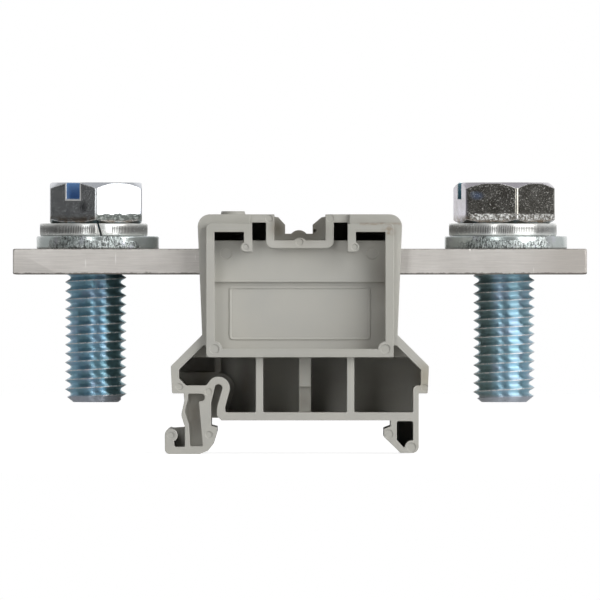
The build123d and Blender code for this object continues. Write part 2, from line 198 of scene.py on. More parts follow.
def spread(tree, value, low, high, toLow=0, toHigh=1, smooth=False):
    return addNode(
        tree, "ShaderNodeMapRange",
        {"Value": value, "From Min": low, "From Max": high, "To Min": toLow, "To Max": toHigh},
        interpolation_type="SMOOTHSTEP" if smooth else "LINEAR",
    ).outputs[0]


def pattern(tree, where, numbers):
    return spread(tree, noise(tree, where, *numbers[:3]), *numbers[3:])


def blendColour(tree, factor, first, second):
    node = addNode(tree, "ShaderNodeMix", data_type="RGBA")
    for index, value in ((0, factor), (6, first), (7, second)):
        if isinstance(value, bpy.types.NodeSocket):
            tree.links.new(value, node.inputs[index])
        else:
            node.inputs[index].default_value = value if index == 0 else (*value, 1)
    return node.outputs[2]


def calc(tree, operation, *values):
    result = values[0]
    for value in values[1:]:
        result = addNode(tree, "ShaderNodeMath", {0: result, 1: value}, operation=operation).outputs[0]
    return result


def times(tree, *values):
    return calc(tree, "MULTIPLY", *values)


def plus(tree, *values):
    return calc(tree, "ADD", *values)


def largest(tree, *values):
    return calc(tree, "MAXIMUM", *values)


def awayFrom(tree, value, centre):
    difference = calc(tree, "SUBTRACT", value, centre)
    return addNode(tree, "ShaderNodeMath", {0: difference}, operation="ABSOLUTE").outputs[0]


def calcVector(tree, operation, first, second):
    return addNode(tree, "ShaderNodeVectorMath", {0: first, 1: second}, operation=operation)


def axesOf(tree, vector):
    return addNode(tree, "ShaderNodeSeparateXYZ", {0: vector}).outputs


def spot(tree, centre, radius, stretch, strength):
    # full strength at a point, fading to 0 at the radius; a larger stretch makes it narrower
    where = calcVector(tree, "SUBTRACT", inMillimetres(tree), centre).outputs[0]
    where = calcVector(tree, "MULTIPLY", where, stretch).outputs[0]
    far = addNode(tree, "ShaderNodeVectorMath", {0: where}, operation="LENGTH").outputs["Value"]
    return spread(tree, far, 0, radius, strength, 0, smooth=True)


def ownNormal(tree):
    return addNode(tree, "ShaderNodeNewGeometry").outputs["Normal"]


def softNormal(tree, radius, samples):
    return addNode(tree, "ShaderNodeBevel", {"Radius": radius * mm}, samples=samples).outputs[0]


def atEdges(tree, soft, fade, smooth=False):
    # rises where the softened normal turns away from the face's own
    turned = calcVector(tree, "DOT_PRODUCT", soft, ownNormal(tree)).outputs["Value"]
    return spread(tree, turned, *fade, smooth=smooth)


def bump(tree, shader, height, depth, strength, normal):
    node = addNode(
        tree, "ShaderNodeBump",
        {"Height": height, "Distance": depth * mm, "Strength": strength, "Normal": normal},
    )
    tree.links.new(node.outputs[0], shader.inputs["Normal"])


# Housing

housing = {
    "grey": (0.435, 0.425, 0.385),
    "greyCool": (0.405, 0.40, 0.37),
    "greyNoise": (0.11, 3, 0.5, 0.3, 0.7),
    "speck": (0.30, 0.28, 0.24),
    "speckNoise": (1.7, 4, 0.65, 0.66, 0.78, 0, 0.12),
    # painted highlight colour along the corners
    "edge": (0.60, 0.59, 0.54),
    "edgeRadius": 0.22,
    "edgeHighlightFade": (0.995, 0.80, 0, 0.45),
    "stain": (0.235, 0.182, 0.128),
    # centre, radius, stretch, strength
    "stainSpot": ((17.3, -20.6, 43.4), 1.9, (1, 0.3, 1.2), 0.95),
    "stainNoise": (1.1, 3, 0.5, 0.35, 0.6),
    "frameTop": 44.85,
    "creepFade": (0.40, 0.05, 0, 0.75),
    "creepInY": (-18.5, -18.9),
    "creepInX": (10.8, 11.8),
    "creepNoise": (0.8, 4, 0.5, 0.35, 0.65),
    "dull": (0.33, 0.325, 0.29),
    "darkerUpInZ": (41.0, 43.4, 0, 0.55),
    "darkerUpNoise": (0.25, 3, 0.5, 0.3, 0.6, 0.6, 1),
    "rubbedInX": (-17.0, 18.0, 0.16, 0.48),
    "rubbedInY": (-20.3, -20.7),
    # colour of the painted shade and dust behind the rims
    "dustAndShade": (0.16, 0.14, 0.105),
    # X, Z, radius, stretch in X, stretch in Z, strength: places of painted shade, with some dust, behind
    # the front rims
    "shadeAndDustSpots": (
        (0.2, 44.8, 7.5, 1.0, 1.2, 0.70), (-4.3, 44.2, 2.6, 1.0, 0.8, 0.78),
        (-19.0, 16.5, 9.0, 1.1, 1.6, 0.78), (-10.6, 13.0, 6.5, 2.1, 0.7, 0.68),
        (0.9, 10.4, 4.0, 1.3, 1.0, 0.42), (6.0, 13.5, 6.5, 1.0, 0.8, 0.34),
        (16.5, 13.5, 8.5, 0.8, 0.8, 0.34), (17.5, 34.5, 8.0, 1.3, 0.7, 0.55),
        (17.0, 25.5, 5.5, 1.2, 0.6, 0.30), (-20.6, 8.0, 6.0, 1.8, 0.7, 0.62),
    ),
    "shadeInY": (-18.9, -18.3),
    "shadeNoise": (0.35, 4, 0.5, 0.25, 0.6, 0.8, 1.1),
    "browned": (0.30, 0.27, 0.20),
    "brownedSpot": ((24.3, -15, 15.0), 3.2, (1, 0, 0.7), 0.7),
    "yellowed": (0.50, 0.42, 0.20),
    "yellowedSpot": ((13.7, -19, 39.9), 1.6, (1, 1, 1), 0.35),
    "roughNoise": (0.5, 2, 0.5, 0.3, 0.7, 0.41, 0.54),
    "specular": 0.45,
    "grainNoise": (5.5, 2, 0.6),
    "grainBump": (0.012, 0.8),
}


def polyamide():
    material, tree, shader = startMaterial("grey polyamide")
    where = inMillimetres(tree)
    parts = axesOf(tree, where)
    clouds = pattern(tree, where, housing["greyNoise"])
    colour = blendColour(tree, clouds, housing["greyCool"], housing["grey"])
    colour = blendColour(tree, pattern(tree, where, housing["speckNoise"]), colour, housing["speck"])
    # painted highlight: the corners are painted lighter where the softened normal turns away
    soft = softNormal(tree, housing["edgeRadius"], samples=6)
    edge = atEdges(tree, soft, housing["edgeHighlightFade"], smooth=True)
    colour = blendColour(tree, edge, colour, housing["edge"])
    # the upper bars are painted darker towards the top
    darkerUp = spread(tree, parts["Z"], *housing["darkerUpInZ"], smooth=True)
    darkerUp = times(tree, darkerUp, pattern(tree, where, housing["darkerUpNoise"]))
    colour = blendColour(tree, darkerUp, colour, housing["dull"])
    # the nesting frame's face is rubbed dull, most of all on its right
    rubbed = times(
        tree, spread(tree, parts["X"], *housing["rubbedInX"]),
        spread(tree, parts["Y"], *housing["rubbedInY"]),
    )
    colour = blendColour(tree, rubbed, colour, housing["dull"])
    # brown stain, and a line of it that has crept along the top of the frame
    stain = times(tree, spot(tree, *housing["stainSpot"]), pattern(tree, where, housing["stainNoise"]))
    creep = times(
        tree, spread(tree, awayFrom(tree, parts["Z"], housing["frameTop"]), *housing["creepFade"]),
        spread(tree, parts["Y"], *housing["creepInY"]), spread(tree, parts["X"], *housing["creepInX"]),
        pattern(tree, where, housing["creepNoise"]),
    )
    colour = blendColour(tree, largest(tree, stain, creep), colour, housing["stain"])
    # painted shade in the recesses behind the rims, with some dust
    dustAndShade = 0.0
    for x, z, radius, acrossX, acrossZ, strength in housing["shadeAndDustSpots"]:
        dustAndShade = largest(tree, spot(tree, (x, 0, z), radius, (acrossX, 0, acrossZ), strength), dustAndShade)
    dustAndShade = times(
        tree, dustAndShade, spread(tree, parts["Y"], *housing["shadeInY"]),
        pattern(tree, where, housing["shadeNoise"]),
    )
    colour = blendColour(tree, dustAndShade, colour, housing["dustAndShade"])
    colour = blendColour(tree, spot(tree, *housing["brownedSpot"]), colour, housing["browned"])
    colour = blendColour(tree, spot(tree, *housing["yellowedSpot"]), colour, housing["yellowed"])
    tree.links.new(colour, shader.inputs["Base Color"])
    tree.links.new(pattern(tree, where, housing["roughNoise"]), shader.inputs["Roughness"])
    shader.inputs["Specular IOR Level"].default_value = housing["specular"]
    bump(tree, shader, noise(tree, where, *housing["grainNoise"]), *housing["grainBump"], soft)
    return material


greyPlastic = polyamide()
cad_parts["housing"].data.materials.clear()
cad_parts["housing"].data.materials.append(greyPlastic)
print("housing finished")


# Busbar

bar = {
    "size": (112.0, 30.0, 5.0),
    "middleZ": 37.5,
    "holes": (-40.0, 40.0),
    "holeRadius": 6.05,
    "drillZ": (33.5, 41.5),
    "edge": 0.3,
    # X, Y, Z and radius of small chips out of the edges
    "nicks": (
        (-29.9, -14.0, 35.0, 0.42), (-47.6, -14.1, 35.0, 0.30), (33.4, -14.1, 40.1, 0.5),
        (41.2, -14.2, 34.95, 0.34), (55.9, -14.2, 36.2, 0.45), (55.9, -14.1, 39.6, 0.55),
        (-56.0, -14.2, 39.9, 0.6), (55.8, 3.0, 40.2, 0.5), (-55.9, 8.0, 34.9, 0.5),
        (-22.0, 16.1, 40.1, 0.4), (36.0, 16.1, 35.0, 0.4), (56.1, -6.0, 35.1, 0.45),
    ),
    "nickShape": (1.5, 0.8, 0.8),
    "tin": (0.545, 0.52, 0.49),
    "tinLight": (0.62, 0.595, 0.565),
    "tinNoise": (0.16, 4, 0.6, 0.3, 0.7),
    "tarnished": (0.44, 0.41, 0.375),
    "tarnishInX": (40.0, 53.0, 0, 0.75),
    # rolling lines, drawn out along the bar
    "lineStretch": (0.05, 1, 1),
    "lineNoise": (3.2, 4, 0.7),
    "lineFade": (0.40, 0.70, 0, 0.28),
    "scar": (0.30, 0.285, 0.27),
    "fineStretch": (1.6, 1.6, 0.10),
    "fineTurn": (0, radians(4), 0),
    "fineNoise": (0.9, 2, 0.4, 0.70, 0.74, 0, 0.6),
    "fineBright": (0.82, 0.81, 0.79),
    "pitStretch": (0.6, 1, 1),
    "pitNoise": (1.5, 3, 0.6, 0.70, 0.78, 0, 0.5),
    "grime": (0.13, 0.115, 0.10),
    "grimeStretch": (1, 1, 0.4),
    "grimeNoise": (0.9, 5, 0.7, 0.3, 0.7, -0.12, 0.22),
    "grimeLow": (35.30, 35.14, 0, 0.8),
    "grimeHigh": (39.86, 39.98, 0, 0.45),
    # X, Z and half length of the long upright scratches on the front
    "scratches": ((-41.8, 37.2, 1.3), (-35.95, 38.1, 1.6), (-20.4, 38.4, 0.9), (45.6, 35.9, 0.8)),
    "scratchY": -14,
    "scratchStretch": (9, 0.1, 1),
    "scratchShare": 0.7,
    "scratchBright": (0.80, 0.79, 0.77),
    "metallic": 0.55,
    "roughFade": (0.3, 0.7, 0.38, 0.56),
    "relief": (0.02, 0.6),
}


def makeBusbar():
    clearSelection()
    bpy.ops.mesh.primitive_cube_add(
        size=1, location=(0, studY * mm, bar["middleZ"] * mm), scale=[s * mm for s in bar["size"]],
    )
    obj = settle(named("busbar_tinned"))
    for x in bar["holes"]:
        combine(obj, addRod("drill", x, bar["holeRadius"], *bar["drillZ"], vertices=96), "DIFFERENCE")
    roundEdges(obj, bar["edge"], segments=3, angle=60)
    for x, y, z, radius in bar["nicks"]:
        # its place, taken as three angles, tilts each chip another way
        clearSelection()
        bpy.ops.mesh.primitive_ico_sphere_add(
            subdivisions=1, radius=radius * mm, location=(x * mm, y * mm, z * mm),
            rotation=(x, y, z), scale=bar["nickShape"],
        )
        combine(obj, bpy.context.object, "DIFFERENCE")
    finishMesh(obj, angle=25)
    return obj


def tin():
    material, tree, shader = startMaterial("tinned copper")
    plain = inMillimetres(tree)
    parts = axesOf(tree, plain)
    colour = blendColour(tree, pattern(tree, plain, bar["tinNoise"]), bar["tin"], bar["tinLight"])
    tarnish = spread(tree, parts["X"], *bar["tarnishInX"], smooth=True)
    colour = blendColour(tree, tarnish, colour, bar["tarnished"])
    lines = noise(tree, inMillimetres(tree, bar["lineStretch"]), *bar["lineNoise"])
    colour = blendColour(tree, spread(tree, lines, *bar["lineFade"]), colour, bar["scar"])
    fine = pattern(tree, inMillimetres(tree, bar["fineStretch"], bar["fineTurn"]), bar["fineNoise"])
    colour = blendColour(tree, fine, colour, bar["fineBright"])
    pits = pattern(tree, inMillimetres(tree, bar["pitStretch"]), bar["pitNoise"])
    colour = blendColour(tree, pits, colour, bar["scar"])
    # grime and tiny chips along the lower and upper edges
    ragged = pattern(tree, inMillimetres(tree, bar["grimeStretch"]), bar["grimeNoise"])
    below = spread(tree, calc(tree, "SUBTRACT", parts["Z"], ragged), *bar["grimeLow"])
    above = spread(tree, plus(tree, parts["Z"], ragged), *bar["grimeHigh"])
    colour = blendColour(tree, largest(tree, below, above), colour, bar["grime"])
    for x, z, length in bar["scratches"]:
        line = spot(tree, (x, bar["scratchY"], z), length, bar["scratchStretch"], bar["scratchShare"])
        colour = blendColour(tree, line, colour, bar["scratchBright"])
    tree.links.new(colour, shader.inputs["Base Color"])
    shader.inputs["Metallic"].default_value = bar["metallic"]
    tree.links.new(spread(tree, lines, *bar["roughFade"]), shader.inputs["Roughness"])
    bump(tree, shader, plus(tree, lines, fine), *bar["relief"], softNormal(tree, bar["edge"], samples=4))
    return material


busbar = makeBusbar()
busbar.data.materials.append(tin())
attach(busbar, "block")
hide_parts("busbar")
print("busbar finished:", len(busbar.data.polygons), "faces")


# Bolts

bolt = {
    "headZ": (45.0, 53.0),
    "flats": 18.0,
    "cornerRadius": 0.4,
    "headEdge": 0.16,
    # end radius of the cones turned on the head, and their heights below and above
    "endRadius": 8.8,
    "coneUnder": 0.78,
    "coneOver": 1.25,
    "slotWidth": 3.0,
    "slotFloorZ": 49.7,
    # length and height of the block that cuts the slot
    "slotCutter": (30.0, 5.3),
    "pitch": 1.75,
    # radius and half width of the crests, and rounding of the roots
    "crestRadius": 5.97,
    "crestHalf": 0.06,
    "rootRounding": 0.38,
    # turns of the helix, and how many of them lie below the crest that boltPlaces names
    "turns": 24,
    "turnsBelow": 15.5,
    "stepsPerTurn": 56,
    "threadTop": 42.6,
    "tipZ": 10.0,
    "tipRadius": 4.4,
    "tipHeight": 1.3,
    # the turned blank that trims the thread
    "blankRadius": 5.99,
    "blankTop": 42.5,
    "neckRadius": 5.35,
    "neckZ": (42.2, 44.4),
    # way up or down, height and end radius of the neck's coned ends
    "neckEnds": ((1, 0.8, 5.9), (-1, 0.5, 4.815)),
}
# X of the axis, turn of a corner, turn of the driver slot, height of a crest on the right
boltPlaces = {"left": (-40.0, 1.0, -29.0, 32.64), "right": (40.0, 13.6, -76.4, 33.87)}


def makeHead(name, x, corner, slotTurn):
    low, high = bolt["headZ"]
    wide = bolt["flats"] / sqrt(3)
    head = addRod(name, x, wide, low, high, vertices=6, turn=corner)
    bpy.ops.object.mode_set(mode="EDIT")
    selectIn(head, "edges", lambda e: abs(e.verts[0].co.z - e.verts[1].co.z) > (high - low) / 2 * mm)
    bpy.ops.mesh.bevel(offset=bolt["cornerRadius"] * mm, segments=4)
    bpy.ops.object.mode_set(mode="OBJECT")
    # a turned blank, coned at both ends, cuts the arcs into the flats
    blank = addRod("blank", x, wide, low + bolt["coneUnder"], high - bolt["coneOver"], vertices=120)
    bpy.ops.object.mode_set(mode="EDIT")
    for way, tall in ((1, bolt["coneOver"]), (-1, bolt["coneUnder"])):
        coneEnd(blank, x, way, tall, bolt["endRadius"] / wide)
    bpy.ops.object.mode_set(mode="OBJECT")
    combine(head, blank, "INTERSECT")
    clearSelection()
    cutLength, cutHeight = bolt["slotCutter"]
    bpy.ops.mesh.primitive_cube_add(
        size=1, location=(x * mm, studY * mm, (bolt["slotFloorZ"] + cutHeight / 2) * mm),
        rotation=(0, 0, radians(slotTurn - 90)),
        scale=(cutLength * mm, bolt["slotWidth"] * mm, cutHeight * mm),
    )
    combine(head, bpy.context.object, "DIFFERENCE")
    finishMesh(head, angle=20)
    roundEdges(head, bolt["headEdge"], segments=2, angle=22)
    evenShading(head, angle=60)
    return head


def threadProfile():
    # half of one ridge: rounded root, flank at 30 degrees, narrow crest; then its mirror
    pitch, bend = bolt["pitch"], bolt["rootRounding"]
    half = [(bend * (1 - cos(radians(a))), bend * sin(radians(a))) for a in (0, 30, 60)]
    crestFrom = pitch / 2 - bolt["crestHalf"]
    top = half[-1][0] + (crestFrom - half[-1][1]) * sqrt(3)
    half.append((top, crestFrom))
    profile = [(bolt["crestRadius"] - top + r, z) for r, z in half]
    return profile + [(r, pitch - z) for r, z in reversed(profile)]


def makeThread(x, crestZ):
    # a plane merged to one point is drawn out along the section, which the screw then turns
    clearSelection()
    bpy.ops.mesh.primitive_plane_add(size=mm, location=(0, 0, 0))
    thread = named("bolt_shank")
    bpy.ops.object.mode_set(mode="EDIT")
    bpy.ops.mesh.merge(type="CENTER")
    profile = threadProfile()
    bpy.ops.transform.translate(value=(profile[0][0] * mm, 0, 0))
    for before, after in zip(profile, profile[1:]):
        bpy.ops.mesh.extrude_region_move(
            TRANSFORM_OT_translate={
                "value": ((after[0] - before[0]) * mm, 0, (after[1] - before[1]) * mm),
            },
        )
    bpy.ops.object.mode_set(mode="OBJECT")
    screw = thread.modifiers.new("helix", "SCREW")
    screw.axis = "Z"
    screw.screw_offset = bolt["pitch"] * mm
    screw.iterations = bolt["turns"]
    screw.steps = bolt["stepsPerTurn"]
    screw.use_normal_calculate = True
    applyAll(thread)
    thread.location = (x * mm, studY * mm, (crestZ - bolt["turnsBelow"] * bolt["pitch"]) * mm)
    settle(thread)
    finishMesh(thread, angle=50)
    # both raw ends are cut off square and closed
    bpy.ops.object.mode_set(mode="EDIT")
    for z, inner, outer in ((bolt["tipZ"], True, False), (bolt["threadTop"], False, True)):
        bpy.ops.mesh.select_all(action="SELECT")
        bpy.ops.mesh.bisect(
            plane_co=(x * mm, studY * mm, z * mm), plane_no=(0, 0, 1),
            use_fill=True, clear_inner=inner, clear_outer=outer,
        )
    bpy.ops.object.mode_set(mode="OBJECT")
    # a blank with the chamfered tip trims the crests
    low = bolt["tipZ"] + bolt["tipHeight"]
    blank = addRod("blank", x, bolt["blankRadius"], low, bolt["blankTop"], 2 * bolt["stepsPerTurn"])
    bpy.ops.object.mode_set(mode="EDIT")
    coneEnd(blank, x, -1, bolt["tipHeight"], bolt["tipRadius"] / bolt["blankRadius"])
    bpy.ops.object.mode_set(mode="OBJECT")
    combine(thread, blank, "INTERSECT")
    finishMesh(thread, angle=40)
    return thread


def makeNeck(x):
    # it flares into the head above, and its foot is coned
    neck = addRod("bolt_neck", x, bolt["neckRadius"], *bolt["neckZ"], vertices=64)
    bpy.ops.object.mode_set(mode="EDIT")
    for way, tall, endRadius in bolt["neckEnds"]:
        coneEnd(neck, x, way, tall, endRadius / bolt["neckRadius"])
    bpy.ops.object.mode_set(mode="OBJECT")
    finishMesh(neck, angle=50)
    return neck


def makeBolt(side):
    x, corner, slotTurn, crestZ = boltPlaces[side]
    thread = makeThread(x, crestZ)
    neck = makeNeck(x)
    head = makeHead(f"bolt_{side}_zinc", x, corner, slotTurn)
    finishes = (headZinc(side), threadZinc(side))
    for obj, slotIndex in ((head, 0), (thread, 1), (neck, 1)):
        obj.data.materials.clear()
        for material in finishes:
            obj.data.materials.append(material)
        for face in obj.data.polygons:
            face.material_index = slotIndex
    pick(head)
    thread.select_set(True)
    neck.select_set(True)
    bpy.ops.object.join()
    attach(head, f"screw_{side}")
    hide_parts(f"bolt_{side}")
    return head


# where the finishes of the two bolts differ
boltLooks = {
    "left": {
        "silver": (0.67, 0.69, 0.70), "tarnish": (0.50, 0.52, 0.54), "scuffs": 0.16, "dents": 0.16,
        "metal": 0.88, "burr": 0.7, "bandInX": (-0.3, 0.5, 0.05, 1),
        "bandDark": (0.12, 0.135, 0.125), "bandLight": (0.36, 0.39, 0.37),
        "skinAndUpReflection": (0.55, 0.57, 0.62), "sheenInX": (8.2, 8.7), "slot": (0.22, 0.38, 0.62),
        # centre, radius, stretch, strength, and colour
        "blots": (
            ((-42.3, -8.0, 48.25), 1.2, (1.1, 0.2, 0.75), 0.9, (0.12, 0.12, 0.13)),
            ((-31.9, -5.0, 47.3), 0.8, (1.0, 0.2, 2.6), 0.9, (0.25, 0.26, 0.26)),
        ),
        "blue": (0.37, 0.60, 0.75), "teal": (0.32, 0.54, 0.63), "lilac": (0.45, 0.54, 0.69),
        # dark: painted dark reflection on the shank's side towards the housing
        "dark": (0.28, 0.47, 0.52), "darkReflectionInX": (1.6, 2.7),
    },
    "right": {
        "silver": (0.38, 0.37, 0.34), "tarnish": (0.20, 0.19, 0.165), "scuffs": 0.65, "dents": 0.3,
        "metal": 0.87, "burr": 0.1, "bandInX": (-6.8, -6.2, 0.10, 1),
        "bandDark": (0.13, 0.12, 0.10), "bandLight": (0.92, 0.92, 0.90),
        "skinAndUpReflection": (0.56, 0.53, 0.60), "sheenInX": (-6.9, -7.6), "slot": (0.12, 0.24, 0.30),
        "blots": (
            ((34.6, -8.5, 50.4), 1.5, (0.8, 0.2, 1.3), 0.9, (0.42, 0.55, 0.85)),
            ((33.9, -8.5, 50.9), 0.9, (0.9, 0.2, 1.6), 0.9, (0.60, 0.72, 0.90)),
        ),
        "blue": (0.45, 0.67, 0.80), "teal": (0.40, 0.61, 0.69), "lilac": (0.53, 0.60, 0.73),
        # dark: painted dark reflection on the shank's side towards the housing
        "dark": (0.29, 0.42, 0.45), "darkReflectionInX": (-1.9, -3.2),
    },
}

headFinish = {
    "cloudNoise": (0.45, 4, 0.65, 0.35, 0.65),
    "sheenNoise": (0.3, 2, 0.5, 0.3, 0.6, 0.5, 1),
    # painted reflections, chosen by which way a face points
    "reflectionFacingUp": (0.3, 0.6, 0, 0.7),
    "reflectionFacingDown": (-0.3, -0.6, 0, 0.8),
    "undersideReflection": (0.22, 0.40, 0.48),
    # short scratches and rubbed specks
    "fineStretch": (1, 1, 1.5),
    "fineTurn": (0.3, 0.5, 0),
    "fineNoise": (2.7, 6, 0.74),
    "markFade": (0.60, 0.66),
    "rubFade": (0.36, 0.52),
    # sheared band along the foot of the flats
    "bandTop": (46.9, 46.7),
    "bandFoot": (45.35, 45.75),
    "bandNoise": (1.4, 3, 0.5, 0, 1, -0.5, 0.5),
    "tornNoise": (2.2, 5, 0.75, 0.46, 0.56),
    "tornDepth": 5,
    "tinge": (0.22, 0.165, 0.115),
    "tingeInZ": (46.7, 45.9),
    "tingeNoise": (0.8, 4, 0.6, 0.36, 0.54, 0, 0.85),
    # how far past its walls and floor the slot's own colour and the burr reach
    "slotReach": 0.01,
    "burrReach": 0.3,
    "cornerSoft": 0.25,
    # corners painted pale, partly wear and partly painted highlight; the same pale colour serves the
    # scratches and the burr
    "cornerHighlightFade": (0.992, 0.955, 0, 0.85),
    "pale": (0.80, 0.80, 0.79),
    "paleMetal": 0.25,
    "roughShare": 0.6,
    "glossNoise": (1.2, 4, 0.6, 0.3, 0.7, 0.06, 0.12),
    "paleGloss": 0.22,
    "dentNoise": (0.9, 3, 0.5),
    "relief": (0.03, 0.8),
}

threadFinish = {
    "tintNoise": (0.22, 3, 0.6, 0.35, 0.65),
    "lilacNoise": (0.35, 2, 0.5, 0.5, 0.75, 0, 0.8),
    "darkReflectionNoise": (0.9, 4, 0.6, 0.3, 0.6, 0.55, 1),
    # worn: crests painted pale, partly wear and partly painted highlight
    "worn": (0.80, 0.77, 0.77),
    "wornNoise": (2.6, 4, 0.75),
    "wornFade": (0.42, 0.56, 0.15, 0.95),
    "crestHighlightFade": (5.80, 5.90),
    "tip": (0.52, 0.52, 0.58),
    "tipDrift": (0, 1, -0.3, 0.3),
    "tipInZ": (11.6, 11.0),
    "tipShare": 0.8,
    "tipWorn": 0.5,
    "wornMetal": 0.5,
    "glossNoise": (2.6, 4, 0.6, 0.3, 0.7, 0.38, 0.47),
    "anisotropic": 1.0,
    "edgeSoft": 0.10,
    "grainNoise": (3.0, 4, 0.6),
    "grainBump": (0.012, 0.7),
}


def fromAxis(tree, side, turn=0, shift=0):
    # place with the stud's axis at zero, turned so that X crosses the driver slot
    place = (boltPlaces[side][0] + shift, studY, 0)
    shifted = calcVector(tree, "SUBTRACT", inMillimetres(tree), place).outputs[0]
    turned = addNode(
        tree, "ShaderNodeMapping", {"Vector": shifted, "Rotation": (0, 0, radians(-turn))},
    ).outputs[0]
    return axesOf(tree, turned)


def radiusOf(tree, parts):
    squares = plus(tree, times(tree, parts["X"], parts["X"]), times(tree, parts["Y"], parts["Y"]))
    return addNode(tree, "ShaderNodeMath", {0: squares}, operation="SQRT").outputs[0]


def nearSlot(tree, parts, reach):
    return times(
        tree, calc(tree, "LESS_THAN", awayFrom(tree, parts["X"], 0), bolt["slotWidth"] / 2 + reach),
        calc(tree, "GREATER_THAN", parts["Z"], bolt["slotFloorZ"] - reach),
    )


def headZinc(side):
    look, finish = boltLooks[side], headFinish
    material, tree, shader = startMaterial(f"zinc head {side}")
    plain = inMillimetres(tree)
    parts = fromAxis(tree, side, boltPlaces[side][2])
    across = fromAxis(tree, side)["X"]
    colour = blendColour(tree, pattern(tree, plain, finish["cloudNoise"]), look["silver"], look["tarnish"])
    # a thin rainbow skin on the side flats; painted reflection: faces that face up, such as the top, take
    # the same colour, and faces that face down, such as the cone below, a bluer one
    skin = times(tree, spread(tree, across, *look["sheenInX"]), pattern(tree, plain, finish["sheenNoise"]))
    colour = blendColour(tree, skin, colour, look["skinAndUpReflection"])
    up = axesOf(tree, ownNormal(tree))["Z"]
    colour = blendColour(tree, spread(tree, up, *finish["reflectionFacingUp"]), colour, look["skinAndUpReflection"])
    colour = blendColour(tree, spread(tree, up, *finish["reflectionFacingDown"]), colour, finish["undersideReflection"])
    for *place, tint in look["blots"]:
        colour = blendColour(tree, spot(tree, *place), colour, tint)
    fine = noise(tree, inMillimetres(tree, finish["fineStretch"], finish["fineTurn"]), *finish["fineNoise"])
    marks = times(tree, spread(tree, fine, *finish["markFade"]), look["scuffs"])
    wobble = plus(tree, parts["Z"], pattern(tree, plain, finish["bandNoise"]))
    band = times(
        tree, spread(tree, wobble, *finish["bandTop"]), spread(tree, wobble, *finish["bandFoot"]),
        spread(tree, across, *look["bandInX"]),
    )
    torn = pattern(tree, plain, finish["tornNoise"])
    colour = blendColour(tree, band, colour, blendColour(tree, torn, look["bandDark"], look["bandLight"]))
    # brown tinge low down on the flats that the band leaves
    tinge = times(
        tree, spread(tree, wobble, *finish["tingeInZ"]), calc(tree, "SUBTRACT", 1.0, band),
        pattern(tree, plain, finish["tingeNoise"]),
    )
    colour = blendColour(tree, tinge, colour, finish["tinge"])
    # blue left inside the driver slot, and a burr round its mouth
    inSlot = nearSlot(tree, parts, finish["slotReach"])
    colour = blendColour(tree, inSlot, colour, look["slot"])
    burr = nearSlot(tree, parts, finish["burrReach"])
    burr = times(tree, burr, calc(tree, "SUBTRACT", 1.0, inSlot), look["burr"])
    # the corners between the flats are painted pale: partly rubbed wear, partly a painted highlight
    soft = softNormal(tree, finish["cornerSoft"], samples=6)
    edge = times(tree, atEdges(tree, soft, finish["cornerHighlightFade"]), spread(tree, fine, *finish["rubFade"]))
    pale = largest(tree, marks, burr, edge)
    colour = blendColour(tree, pale, colour, finish["pale"])
    tree.links.new(colour, shader.inputs["Base Color"])
    dry = largest(tree, pale, times(tree, largest(tree, inSlot, band), finish["roughShare"]))
    tree.links.new(spread(tree, dry, 0, 1, look["metal"], finish["paleMetal"]), shader.inputs["Metallic"])
    gloss = plus(
        tree, pattern(tree, plain, finish["glossNoise"]),
        times(tree, largest(tree, pale, band), finish["paleGloss"]),
    )
    tree.links.new(gloss, shader.inputs["Roughness"])
    height = plus(
        tree, times(tree, noise(tree, plain, *finish["dentNoise"]), look["dents"]), marks,
        times(tree, band, band, torn, finish["tornDepth"]),
    )
    bump(tree, shader, height, *finish["relief"], soft)
    return material


def threadZinc(side):
    look, finish = boltLooks[side], threadFinish
    material, tree, shader = startMaterial(f"zinc thread {side}")
    plain = inMillimetres(tree)
    parts = fromAxis(tree, side)
    colour = blendColour(tree, pattern(tree, plain, finish["tintNoise"]), look["blue"], look["teal"])
    colour = blendColour(tree, pattern(tree, plain, finish["lilacNoise"]), colour, look["lilac"])
    # painted dark reflection: the side of each shank that faces the housing is painted darker, as it
    # mirrors the shaded housing
    dark = spread(tree, parts["X"], *look["darkReflectionInX"], smooth=True)
    dark = times(tree, dark, pattern(tree, plain, finish["darkReflectionNoise"]))
    colour = blendColour(tree, dark, colour, look["dark"])
    # the crests are painted pale, partly as wear and partly as a painted highlight, and the tip is greyer
    rub = noise(tree, plain, *finish["wornNoise"])
    crest = times(
        tree, spread(tree, radiusOf(tree, parts), *finish["crestHighlightFade"]),
        spread(tree, rub, *finish["wornFade"]),
    )
    colour = blendColour(tree, crest, colour, finish["worn"])
    tip = spread(tree, plus(tree, parts["Z"], spread(tree, rub, *finish["tipDrift"])), *finish["tipInZ"])
    colour = blendColour(tree, times(tree, tip, finish["tipShare"]), colour, finish["tip"])
    tree.links.new(colour, shader.inputs["Base Color"])
    worn = largest(tree, crest, times(tree, tip, finish["tipWorn"]))
    tree.links.new(spread(tree, worn, 0, 1, 1, finish["wornMetal"]), shader.inputs["Metallic"])
    # rolled threads have fine lines round them, which draw a highlight out up and down
    tree.links.new(pattern(tree, plain, finish["glossNoise"]), shader.inputs["Roughness"])
    shader.inputs["Anisotropic"].default_value = finish["anisotropic"]
    upright = addNode(tree, "ShaderNodeCombineXYZ", {"Z": 1.0}).outputs[0]
    tree.links.new(upright, shader.inputs["Tangent"])
    soft = softNormal(tree, finish["edgeSoft"], samples=4)
    bump(tree, shader, noise(tree, plain, *finish["grainNoise"]), *finish["grainBump"], soft)
    return material


for side in boltPlaces:
    made = makeBolt(side)
    print("bolt finished:", side, len(made.data.polygons), "faces")


# Washers

